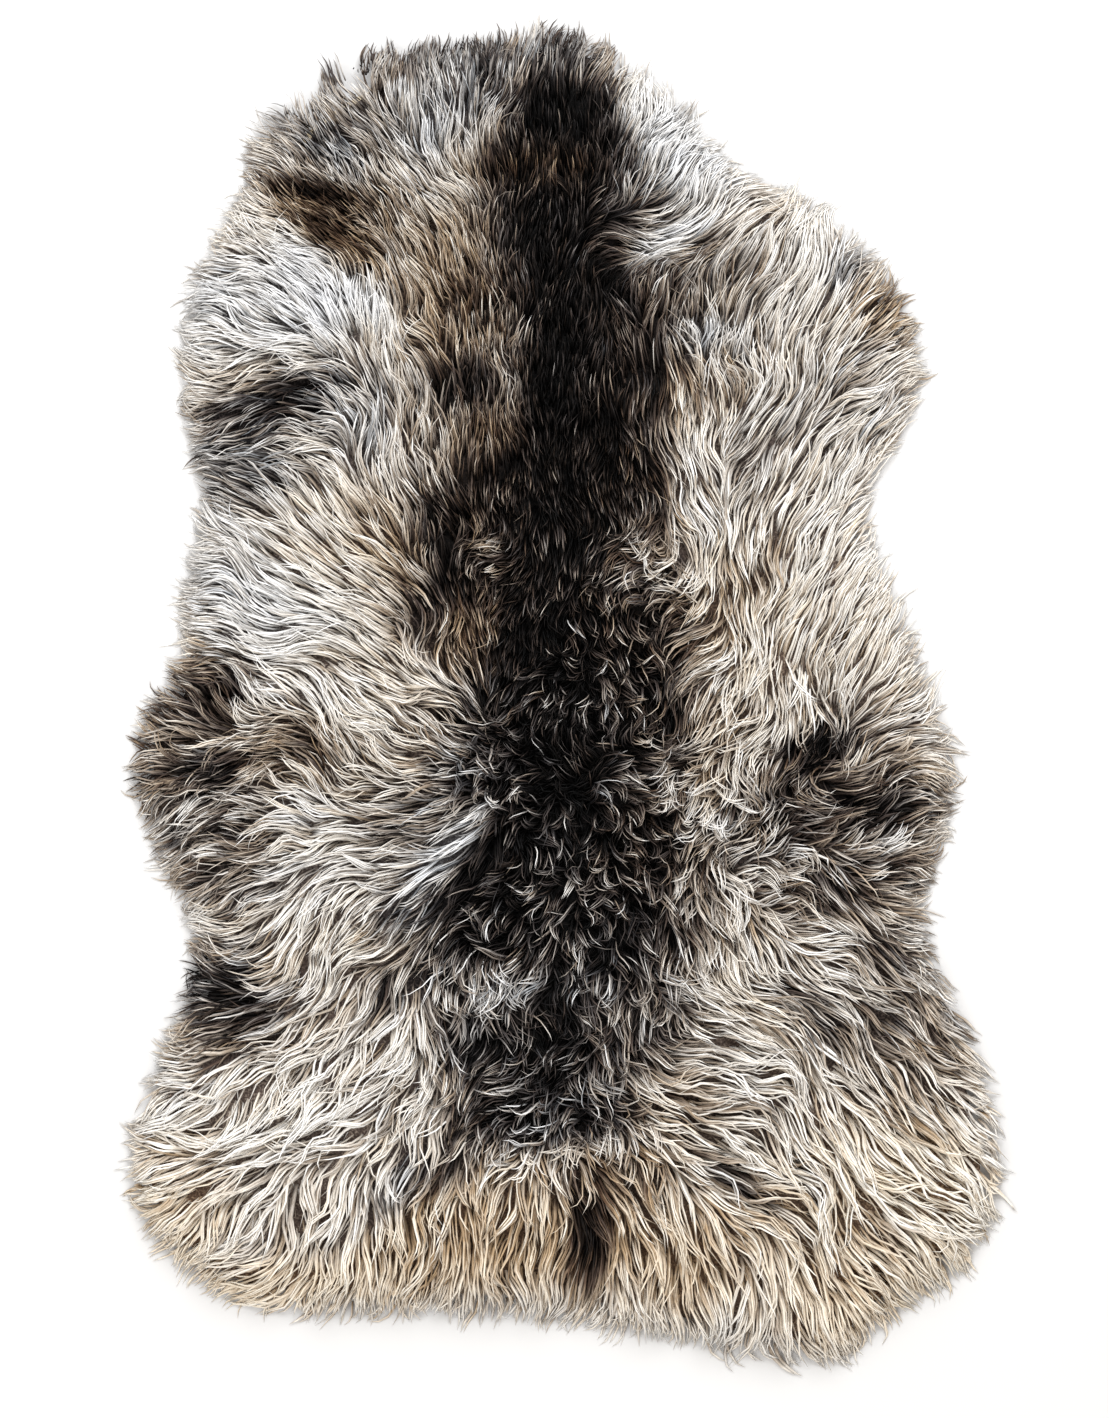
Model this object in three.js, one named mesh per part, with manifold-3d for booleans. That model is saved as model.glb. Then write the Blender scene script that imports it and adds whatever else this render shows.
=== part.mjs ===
// A long-wooled sheepskin rug lying flat, wool side up: one tanned pelt whose wool is part of its skin.
// Millimetres, +Z up. The flat skin side lies on z = 0, and the neck points along +Y.
// The origin is the middle of the rug's outer box, on the surface that it lies on.
import * as THREE from "three";
import { mergeVertices } from "three/addons/utils/BufferGeometryUtils.js";
import Module from "manifold-3d";

// Driving dimensions
const RIM_HEIGHT = 6; // where the outermost wool meets the floor
const EDGE_ROLL = 50; // how far in from the edge the pile takes to reach its full depth
const BACK_PILE = 33; // short wool along the backbone
const FLANK_PILE = 46; // longer wool on both sides of it
const RUMP_EXTRA = 7; // the britch wool at the tail end is longer again
const BACK_HALF_WIDTH = 120; // from the backbone to where the flank wool stands full
const RUMP_START = -250; // along the backbone, where the wool starts to lengthen
const RUMP_FULL = -400;
const OUTLINE_STEPS = 170; // facets round the edge
const GRID_STEP = 18; // facets of the wool's upper surface
const CLEARANCE = 60; // how far the cutting solids run past each other

// The outline of the wool, clockwise from the neck, as the pelt lies.
const OUTLINE = [
  { place: "nape", x: 10, y: 547 },
  { place: "neck, right", x: 60, y: 516 },
  { place: "neck corner, right", x: 111, y: 474 },
  { place: "notch under the neck, right", x: 135, y: 437 },
  { place: "shoulder, right", x: 185, y: 414 },
  { place: "shoulder, right", x: 242, y: 371 },
  { place: "foreleg, right", x: 279, y: 321 },
  { place: "foreleg tip, right", x: 295, y: 272 },
  { place: "foreleg, right", x: 283, y: 219 },
  { place: "notch behind the foreleg, right", x: 250, y: 152 },
  { place: "belly, right", x: 284, y: 49 },
  { place: "belly lobe, right", x: 320, y: -57 },
  { place: "belly lobe, right", x: 312, y: -117 },
  { place: "notch before the thigh, right", x: 294, y: -180 },
  { place: "thigh, right", x: 340, y: -293 },
  { place: "hind leg tip, right", x: 359, y: -395 },
  { place: "hind leg, right", x: 336, y: -459 },
  { place: "britch, right", x: 279, y: -500 },
  { place: "britch tip, right", x: 222, y: -546 },
  { place: "tail edge, right", x: 94, y: -529 },
  { place: "tail edge, middle", x: 0, y: -513 },
  { place: "tail edge, left", x: -120, y: -508 },
  { place: "britch, left", x: -258, y: -502 },
  { place: "hind leg, left", x: -315, y: -470 },
  { place: "hind leg tip, left", x: -359, y: -405 },
  { place: "thigh, left", x: -343, y: -312 },
  { place: "thigh, left", x: -312, y: -238 },
  { place: "notch before the thigh, left", x: -310, y: -188 },
  { place: "belly lobe, left", x: -343, y: -112 },
  { place: "belly lobe tip, left", x: -358, y: -70 },
  { place: "belly lobe, left", x: -347, y: -16 },
  { place: "belly, left", x: -317, y: 33 },
  { place: "belly, left", x: -313, y: 94 },
  { place: "notch behind the foreleg, left", x: -300, y: 160 },
  { place: "foreleg tip, left", x: -318, y: 246 },
  { place: "foreleg, left", x: -311, y: 316 },
  { place: "shoulder, left", x: -297, y: 365 },
  { place: "shoulder, left", x: -267, y: 414 },
  { place: "neck corner, left", x: -253, y: 467 },
  { place: "neck, left", x: -206, y: 511 },
  { place: "neck, left", x: -162, y: 532 },
  { place: "neck edge", x: -60, y: 540 },
];

// Partings and hollows, where the locks fall to either side: middle, half length, half width, turn, depth.
const PARTINGS = [
  { place: "slit in the neck wool, left", x: -209, y: 398, long: 46, wide: 22, turn: -32, deep: 13 },
  { place: "parting on the shoulder, left", x: -232, y: 238, long: 60, wide: 24, turn: 20, deep: 14 },
  { place: "parting round the belly lobe, left", x: -275, y: -15, long: 52, wide: 24, turn: 70, deep: 12 },
  { place: "gap before the thigh, left", x: -268, y: -238, long: 46, wide: 24, turn: 10, deep: 14 },
  { place: "gap beside the loin, left", x: -148, y: -254, long: 36, wide: 22, turn: 60, deep: 10 },
  { place: "whorl on the back", x: 6, y: -78, long: 34, wide: 28, turn: 90, deep: 10 },
  { place: "crease across the loin, right", x: 55, y: 96, long: 80, wide: 22, turn: 14, deep: 7 },
  { place: "hollow on the belly, right", x: 208, y: -42, long: 40, wide: 28, turn: 30, deep: 18 },
  { place: "parting below it, right", x: 240, y: -142, long: 76, wide: 22, turn: 8, deep: 12 },
  { place: "gap on the thigh, right", x: 142, y: -402, long: 42, wide: 22, turn: -40, deep: 14 },
  { place: "crease across the rump", x: -8, y: -352, long: 120, wide: 22, turn: 0, deep: 8 },
  { place: "dark parting in the tail wool", x: 16, y: -445, long: 44, wide: 22, turn: 88, deep: 9 },
];

// A closed geometry as a solid that can be cut, and back again.
const wasm = await Module();
wasm.setup();

function solidOf(geometry) {
  geometry.deleteAttribute("normal");
  geometry.deleteAttribute("uv");
  const merged = mergeVertices(geometry);
  return new wasm.Manifold(
    new wasm.Mesh({
      numProp: 3,
      vertProperties: merged.attributes.position.array,
      triVerts: new Uint32Array(merged.index.array),
    }),
  );
}

function geometryOf(solid) {
  const { vertProperties, triVerts } = solid.getMesh();
  const geometry = new THREE.BufferGeometry();
  geometry.setAttribute("position", new THREE.BufferAttribute(vertProperties, 3));
  geometry.setIndex(new THREE.BufferAttribute(triVerts, 1));
  return geometry;
}

// The edge of the wool as one smooth closed line of evenly spaced points.
function edgePoints() {
  const corners = OUTLINE.map(({ x, y }) => new THREE.Vector3(x, y, 0));
  const line = new THREE.CatmullRomCurve3(corners, true, "centripetal");
  return line.getSpacedPoints(OUTLINE_STEPS).slice(0, OUTLINE_STEPS);
}

// The distance inwards from the edge, negative outside it.
function inwardDistance(x, y, edge) {
  const here = new THREE.Vector3(x, y, 0);
  const nearest = new THREE.Vector3();
  let distance = Infinity;
  let inside = false;
  for (let i = 0; i < edge.length; i++) {
    const from = edge[i];
    const to = edge[(i + 1) % edge.length];
    new THREE.Line3(from, to).closestPointToPoint(here, true, nearest);
    distance = Math.min(distance, nearest.distanceTo(here));
    const crosses = from.y > y !== to.y > y;
    const crossing = from.x + ((y - from.y) / (to.y - from.y)) * (to.x - from.x);
    if (crosses && x < crossing) inside = !inside;
  }
  return inside ? distance : -distance;
}

// How deep the full pile is at a place: short on the back, longer on the flanks, longest at the tail end.
function fullPile(x, y) {
  const flank = THREE.MathUtils.smoothstep(Math.abs(x), 0, BACK_HALF_WIDTH);
  const rump = THREE.MathUtils.smoothstep(-y, -RUMP_START, -RUMP_FULL);
  const sides = BACK_PILE + (FLANK_PILE - BACK_PILE) * Math.max(flank, rump);
  return sides + RUMP_EXTRA * rump;
}

// How far the partings sink the surface at a place, each one a soft trough.
function partingDepth(x, y) {
  let depth = 0;
  for (const { x: px, y: py, long, wide, turn, deep } of PARTINGS) {
    const from = new THREE.Vector2(x - px, y - py);
    from.rotateAround(new THREE.Vector2(), -THREE.MathUtils.degToRad(turn));
    depth += deep * Math.exp(-((from.x / long) ** 2) - (from.y / wide) ** 2);
  }
  return depth;
}

// The height of the wool's upper surface: it rolls up from the rim, then keeps to the full pile.
function woolHeight(x, y, edge) {
  const inward = THREE.MathUtils.clamp(inwardDistance(x, y, edge) / EDGE_ROLL, -1, 1);
  const roll = Math.sin((inward * Math.PI) / 2);
  return RIM_HEIGHT + (fullPile(x, y) - partingDepth(x, y) - RIM_HEIGHT) * roll;
}

// A block larger than the rug whose top face is the wool's upper surface.
function woolBlock(edge) {
  const box = new THREE.Box3().setFromPoints(edge).expandByScalar(CLEARANCE);
  const size = box.getSize(new THREE.Vector3());
  const middle = box.getCenter(new THREE.Vector3());
  const across = Math.round(size.x / GRID_STEP);
  const along = Math.round(size.y / GRID_STEP);
  const block = new THREE.BoxGeometry(size.x, size.y, size.z, across, along, 1);
  block.translate(middle.x, middle.y, 0);
  const place = block.attributes.position;
  for (let i = 0; i < place.count; i++) {
    if (place.getZ(i) > 0) place.setZ(i, woolHeight(place.getX(i), place.getY(i), edge));
  }
  return block;
}

// The pelt: everything under the wool's upper surface and inside its outline, with a flat underside.
function sheepskinGeometry() {
  const edge = edgePoints();
  const tallest = FLANK_PILE + RUMP_EXTRA + CLEARANCE;
  const shape = new THREE.Shape(edge.map((p) => new THREE.Vector2(p.x, p.y)));
  const prism = new THREE.ExtrudeGeometry(shape, { depth: tallest, bevelEnabled: false, steps: 1 });
  const geometry = geometryOf(solidOf(prism).intersect(solidOf(woolBlock(edge))));
  geometry.computeBoundingBox();
  const { min, max } = geometry.boundingBox;
  geometry.translate(-(min.x + max.x) / 2, -(min.y + max.y) / 2, 0);
  geometry.computeVertexNormals();
  return geometry;
}

const wool = new THREE.MeshStandardMaterial({ color: 0xb3a899, roughness: 0.9, metalness: 0 });
const sheepskin = new THREE.Mesh(sheepskinGeometry(), wool);
sheepskin.name = "sheepskin";

const rug = new THREE.Group();
rug.add(sheepskin);

export default rug;
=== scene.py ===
# %% [markdown]
# # A long-wooled sheepskin rug, wool side up
#
# A sheepskin rug is one thing: a tanned hide with the wool still growing out of it. To look at it is to
# look at the wool, so most of this lesson is about laying many thousands of fibres the way they lie on the
# real rug. The work is done on whole numpy arrays: one array for all the locks, one for all the fibres, one
# for all the points.

import bpy
import numpy as np
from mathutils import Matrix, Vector
from mathutils.bvhtree import BVHTree


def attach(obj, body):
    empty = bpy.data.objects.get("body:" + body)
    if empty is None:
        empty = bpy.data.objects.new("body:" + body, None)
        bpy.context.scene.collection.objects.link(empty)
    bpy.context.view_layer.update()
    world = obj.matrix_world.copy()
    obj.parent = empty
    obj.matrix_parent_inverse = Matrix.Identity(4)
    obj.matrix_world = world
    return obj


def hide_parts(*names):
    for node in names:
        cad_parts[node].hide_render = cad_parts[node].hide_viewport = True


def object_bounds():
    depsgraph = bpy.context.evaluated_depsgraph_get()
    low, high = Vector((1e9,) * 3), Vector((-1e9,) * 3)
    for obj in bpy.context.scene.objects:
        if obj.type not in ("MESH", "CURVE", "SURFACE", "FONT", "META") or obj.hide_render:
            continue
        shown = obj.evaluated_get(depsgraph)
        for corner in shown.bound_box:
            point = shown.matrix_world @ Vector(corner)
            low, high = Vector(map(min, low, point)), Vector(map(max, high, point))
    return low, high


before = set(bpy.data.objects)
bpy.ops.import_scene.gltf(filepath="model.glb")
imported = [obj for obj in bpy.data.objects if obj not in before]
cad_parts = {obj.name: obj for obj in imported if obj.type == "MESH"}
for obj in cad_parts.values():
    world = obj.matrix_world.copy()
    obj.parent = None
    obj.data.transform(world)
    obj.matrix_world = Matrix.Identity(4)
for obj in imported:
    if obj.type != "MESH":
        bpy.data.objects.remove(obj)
CAD_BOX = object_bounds()
MM = 0.001
rng = np.random.default_rng(11)
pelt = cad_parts["sheepskin"]
print("outer box of the rug, m:", [tuple(corner) for corner in CAD_BOX])

# %% [markdown]
# ## The outline and the depth of the pile
#
# The solid in the frame already has the rug's outline and the height of the wool's upper surface, so both
# are read from it and never drawn twice. The outline is the ring of points on the floor, put in order by
# their bearing from the middle, which works because the whole edge can be seen from there. The height could
# be asked for fibre by fibre, but a map on a square grid is quicker: rays are dropped once, and later
# look-ups blend the four nearest values. A second map holds the distance in from the edge.

# %% Read the outline
spots = np.empty(3 * len(pelt.data.vertices))
pelt.data.vertices.foreach_get("co", spots)
spots = spots.reshape(-1, 3)
floor_spots = np.unique(spots[spots[:, 2] < 0.1 * MM, :2].round(5), axis=0)
EDGE = floor_spots[np.argsort(np.arctan2(floor_spots[:, 1], floor_spots[:, 0]))]
EDGE_NEXT = np.roll(EDGE, -1, axis=0)


def ring_area(ring):
    """The area inside a ring of points: half the sum of x times the next y, less y times the next x."""
    x, y = ring.T
    return 0.5 * abs(np.sum(x * np.roll(y, -1) - np.roll(x, -1) * y))


def unit(vectors):
    """Each vector scaled to a length of one."""
    return vectors / np.maximum(np.linalg.norm(vectors, axis=-1, keepdims=True), 1e-9)


def inset_edge(distance, count):
    """The outline moved in, each point square to the line between its neighbours, then spaced evenly."""
    run = EDGE_NEXT - np.roll(EDGE, 1, axis=0)
    ring = EDGE + unit(np.stack([-run[:, 1], run[:, 0]], axis=-1)) * distance
    closed = np.concatenate([ring, ring[:1]])
    mark = np.concatenate([[0], np.cumsum(np.linalg.norm(np.diff(closed, axis=0), axis=1))])
    spaced = np.linspace(0, mark[-1], count, endpoint=False)
    return np.stack([np.interp(spaced, mark, closed[:, 0]), np.interp(spaced, mark, closed[:, 1])], axis=-1)


print(f"outline of {len(EDGE)} points round {ring_area(EDGE):.3f} square metres")

# %% Map the pile's height and the distance in from the edge
MAP_STEP = 6 * MM
MAP_MARGIN = 36 * MM
map_x = np.arange(CAD_BOX[0][0] - MAP_MARGIN, CAD_BOX[1][0] + MAP_MARGIN, MAP_STEP)
map_y = np.arange(CAD_BOX[0][1] - MAP_MARGIN, CAD_BOX[1][1] + MAP_MARGIN, MAP_STEP)


def drop_ray(x, y):
    """The height of the solid's top under one spot, or zero beside it."""
    hit = TREE.ray_cast(Vector((x, y, 1.0)), Vector((0.0, 0.0, -1.0)))[0]
    return hit.z if hit else 0.0


def edge_distance(points):
    """The distance from each point to the nearest straight piece of the outline, whichever side it is on."""
    run = EDGE_NEXT - EDGE
    reach = points[:, None, :] - EDGE
    share = np.clip((reach * run).sum(-1) / (run * run).sum(-1), 0, 1)
    return np.linalg.norm(reach - share[..., None] * run, axis=-1).min(axis=1)


TREE = BVHTree.FromObject(pelt, bpy.context.evaluated_depsgraph_get())
HEIGHT_MAP = np.array([[drop_ray(x, y) for x in map_x] for y in map_y])
map_points = np.stack(np.meshgrid(map_x, map_y), axis=-1).reshape(-1, 2)
INWARD_MAP = edge_distance(map_points).reshape(HEIGHT_MAP.shape) * np.where(HEIGHT_MAP > 0, 1, -1)


def blend_four(field, column, row, ease=lambda share: share):
    """The field between its columns and rows: the four values round a place, weighted by eased nearness."""
    i, j = column.astype(int), row.astype(int)
    u, v = ease(column - i), ease(row - j)
    near = field[j, i] * (1 - u) + field[j, i + 1] * u
    far = field[j + 1, i] * (1 - u) + field[j + 1, i + 1] * u
    return near * (1 - v) + far * v


def look_up(field, points):
    """The map's value at each point, kept just short of the last row and column, which have no next one."""
    column = np.clip((points[..., 0] - map_x[0]) / MAP_STEP, 0, len(map_x) - 1.001)
    row = np.clip((points[..., 1] - map_y[0]) / MAP_STEP, 0, len(map_y) - 1.001)
    return blend_four(field, column, row)


print(f"maps of {HEIGHT_MAP.shape}, pile up to {HEIGHT_MAP.max() / MM:.0f} mm deep")

# %% [markdown]
# ## How the wool lies
#
# On the real rug the wool lies in streams: out over the edge all round, along the back, round a whorl in
# the middle, and into a few partings. A groomer would describe it by pointing: here it lies to the left,
# there down. The table does the same. Each row is a spot on the rug in millimetres from its middle, the
# heading of the tips there in degrees (0 to the right, 90 towards the neck), the length of wool that shows,
# and how curly it is in tenths. Between the rows the heading is blended by doubled angles, so that wool
# lying to and fro along one line doesn't cancel out. Which way the tips point is settled afterwards.

# %% The groomer's table: x, y, heading, length, curl in tenths
COMB = np.array([
    # neck
    (-205, 485, 113, 56, 3), (-125, 505, 100, 50, 3), (-45, 508, 88, 46, 3), (25, 500, 74, 44, 3),
    (-222, 445, 150, 48, 3), (-150, 440, 118, 46, 3), (-95, 455, 98, 44, 3), (-15, 440, 90, 32, 1),
    (45, 430, 74, 30, 2), (95, 445, 50, 50, 3), (130, 400, 40, 50, 3), (100, 392, 38, 50, 3),
    (80, 368, 20, 50, 3), (48, 356, 22, 48, 3), (-184, 438, 310, 36, 3),
    # left shoulder
    (-262, 400, 155, 54, 3), (-232, 404, 146, 22, 0), (-206, 389, 146, 20, 0), (-180, 373, 146, 22, 0),
    (-190, 345, 121, 44, 3), (-222, 372, 138, 36, 3), (-275, 320, 163, 54, 3), (-300, 275, 175, 55, 3),
    (-120, 310, 115, 52, 3), (-70, 300, 104, 34, 3), (-150, 240, 125, 56, 4), (-230, 245, 172, 56, 4),
    (-290, 212, 190, 55, 4), (-108, 215, 108, 54, 4), (-270, 165, 163, 54, 4),
    # back above the whorl
    (-20, 380, 90, 27, 0), (0, 325, 90, 26, 0), (-50, 355, 96, 33, 0), (10, 250, 89, 26, 0),
    (-62, 222, 98, 32, 0), (0, 190, 268, 25, 0), (-35, 140, 266, 27, 1), (40, 170, 272, 26, 1),
    (-62, 118, 240, 26, 7), (-42, 65, 264, 30, 3), (-80, 75, 290, 36, 2), (20, 70, 255, 32, 6),
    (60, 300, 92, 40, 1), (68, 335, 85, 36, 1),
    # left flank
    (-290, 118, 165, 56, 2), (-220, 130, 146, 58, 2), (-150, 140, 124, 58, 2), (-112, 120, 112, 54, 2),
    (-282, 60, 171, 56, 2), (-212, 62, 148, 60, 2), (-155, 62, 137, 60, 2), (-112, 35, 309, 58, 2),
    (-104, -12, 316, 56, 3), (-190, 0, 329, 60, 3), (-250, -8, 165, 54, 5), (-240, 42, 166, 56, 3),
    (-325, -12, 172, 55, 4), (-340, -60, 184, 50, 4), (-332, -105, 204, 52, 4), (-290, -70, 195, 56, 6),
    (-250, -100, 182, 56, 6), (-200, -60, 160, 58, 5), (-150, -58, 161, 57, 4), (-130, -92, 182, 56, 3),
    (-92, -105, 211, 58, 2), (-82, -150, 226, 58, 2), (-190, -140, 191, 60, 3), (-242, -150, 206, 57, 4),
    (-295, -165, 208, 54, 4), (-230, -195, 222, 59, 3), (-168, -200, 226, 59, 3), (-280, -240, 192, 54, 4),
    # middle, round the whorl and below it
    (-20, 10, 245, 32, 8), (40, 10, 300, 36, 8), (8, -38, 92, 32, 7), (46, -78, 2, 36, 7),
    (-32, -78, 180, 36, 8), (8, -118, 270, 36, 8), (-72, -66, 190, 36, 10), (-58, -160, 250, 38, 9),
    (20, -160, 282, 38, 9), (62, -125, 312, 38, 9), (0, -225, 268, 44, 7), (-62, -240, 261, 46, 7),
    (60, -240, 286, 46, 7), (0, -283, 270, 46, 6), (-50, -312, 255, 42, 7), (-22, -352, 195, 36, 8),
    (40, -350, 322, 42, 8),
    # right shoulder
    (180, 340, 62, 57, 1), (230, 330, 53, 56, 1), (280, 308, 41, 55, 1), (285, 260, 22, 55, 1),
    (250, 240, 34, 56, 2), (190, 250, 62, 57, 2), (135, 345, 74, 56, 1), (135, 285, 80, 55, 2),
    (92, 250, 273, 57, 1), (118, 280, 108, 36, 7), (110, 190, 268, 61, 1), (150, 180, 262, 61, 1),
    (200, 190, 56, 58, 2), (250, 180, 38, 54, 2),
    # right flank
    (110, 130, 268, 58, 3), (150, 110, 262, 58, 3), (78, 104, 200, 40, 9), (200, 118, 58, 58, 2),
    (258, 110, 40, 54, 2), (150, 60, 241, 58, 4), (118, 28, 226, 56, 4), (190, 60, 57, 58, 3),
    (240, 58, 51, 58, 2), (282, 68, 42, 54, 2), (232, 8, 55, 58, 2), (292, 0, 38, 56, 2),
    (172, 5, 236, 57, 4), (150, -50, 264, 54, 5), (110, -88, 232, 42, 9), (214, -34, 240, 36, 6),
    (184, -58, 275, 46, 5), (206, -84, 352, 46, 5), (234, -62, 42, 46, 4), (262, -50, 14, 56, 4),
    (312, -50, 4, 54, 3), (182, -128, 6, 54, 7), (240, -118, 18, 56, 6), (302, -112, 356, 54, 4),
    (232, -180, 346, 57, 4), (290, -172, 350, 54, 3), (110, -182, 290, 57, 5), (140, -230, 296, 58, 3),
    (200, -250, 301, 58, 3), (290, -240, 338, 56, 3),
    # left of the rump
    (-140, -260, 254, 83, 4), (-200, -280, 236, 94, 5), (-270, -300, 206, 87, 4), (-330, -310, 191, 58, 3),
    (-110, -300, 261, 56, 6), (-190, -340, 233, 94, 6), (-280, -370, 209, 92, 4), (-332, -400, 201, 71, 3),
    (-120, -370, 254, 83, 5), (-220, -430, 229, 94, 4), (-300, -450, 217, 78, 3), (-150, -462, 257, 87, 3),
    # tail edge and the right of the rump
    (-60, -460, 266, 83, 2), (20, -470, 270, 80, 2), (90, -470, 275, 83, 2), (150, -490, 283, 87, 3),
    (222, -500, 296, 85, 3), (272, -462, 311, 85, 3), (330, -420, 331, 74, 3), (342, -370, 338, 71, 3),
    (280, -390, 325, 92, 4), (220, -420, 305, 94, 5), (160, -402, 305, 87, 6), (112, -360, 334, 83, 5),
    (100, -310, 344, 83, 5), (190, -320, 324, 90, 4), (270, -320, 330, 87, 3), (322, -292, 336, 71, 3),
    (-20, -402, 266, 71, 3), (60, -412, 278, 76, 3),
]) / [1, 1, 1, 1, 10]
COMB_PLACE = COMB[:, :2] * MM
COMB_ANGLE = np.radians(COMB[:, 2])
COMB_BLUR = 14 * MM


def comb_weights(points):
    """One weight for each point and row, falling off with the fourth power of the distance between them."""
    gap = ((points[:, None, :] - COMB_PLACE) ** 2).sum(-1) + COMB_BLUR ** 2
    weights = 1 / gap ** 2
    return weights / weights.sum(axis=1, keepdims=True)


print(f"{len(COMB)} rows in the table")

# %% [markdown]
# ## The lie as maps
#
# The table is blended once, on the same square grid as the height, and looked up from then on. No comb
# leaves wool quite straight, so the lie also swerves to and fro, a little where the wool is sleek and a lot
# where it is curly. The swerve is soft noise, so that neighbouring locks bend together.

# %% Blend the groomer's table on the grid
NOISE_ROWS, NOISE_COLUMNS = 300, 220
SLOW_GRAIN, QUICK_GRAIN = 52 * MM, 24 * MM
CURL_TAKES = 0.3  # the share of its length that the curliest wool loses


def smooth_noise(points, grain):
    """Soft random values round zero: random knots one grain apart, blended by 3u² - 2u³ in between."""
    knots = rng.normal(0, 1, (NOISE_ROWS, NOISE_COLUMNS))
    column = (points[..., 0] / grain + NOISE_COLUMNS / 2) % (NOISE_COLUMNS - 2)
    row = (points[..., 1] / grain + NOISE_ROWS / 2) % (NOISE_ROWS - 2)
    return blend_four(knots, column, row, lambda share: share * share * (3 - 2 * share))


GRID = HEIGHT_MAP.shape
weights = comb_weights(map_points)
CURL_MAP = (weights @ COMB[:, 4]).reshape(GRID)
LENGTH_MAP = (weights @ COMB[:, 3] * MM).reshape(GRID) * (1 - CURL_TAKES * CURL_MAP)
LEAN_X = (weights @ np.cos(COMB_ANGLE)).reshape(GRID)
LEAN_Y = (weights @ np.sin(COMB_ANGLE)).reshape(GRID)
slow = smooth_noise(map_points, SLOW_GRAIN).reshape(GRID)
quick = smooth_noise(map_points, QUICK_GRAIN).reshape(GRID)
swerve = slow * np.radians(5 + 30 * CURL_MAP) + quick * np.radians(12 + 20 * CURL_MAP)
doubled = np.arctan2(weights @ np.sin(2 * COMB_ANGLE), weights @ np.cos(2 * COMB_ANGLE)).reshape(GRID)
LIE_COS, LIE_SIN = np.cos(doubled + 2 * swerve), np.sin(doubled + 2 * swerve)
print(f"the lie swerves by up to {np.degrees(np.abs(swerve).max()):.0f} degrees")
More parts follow.
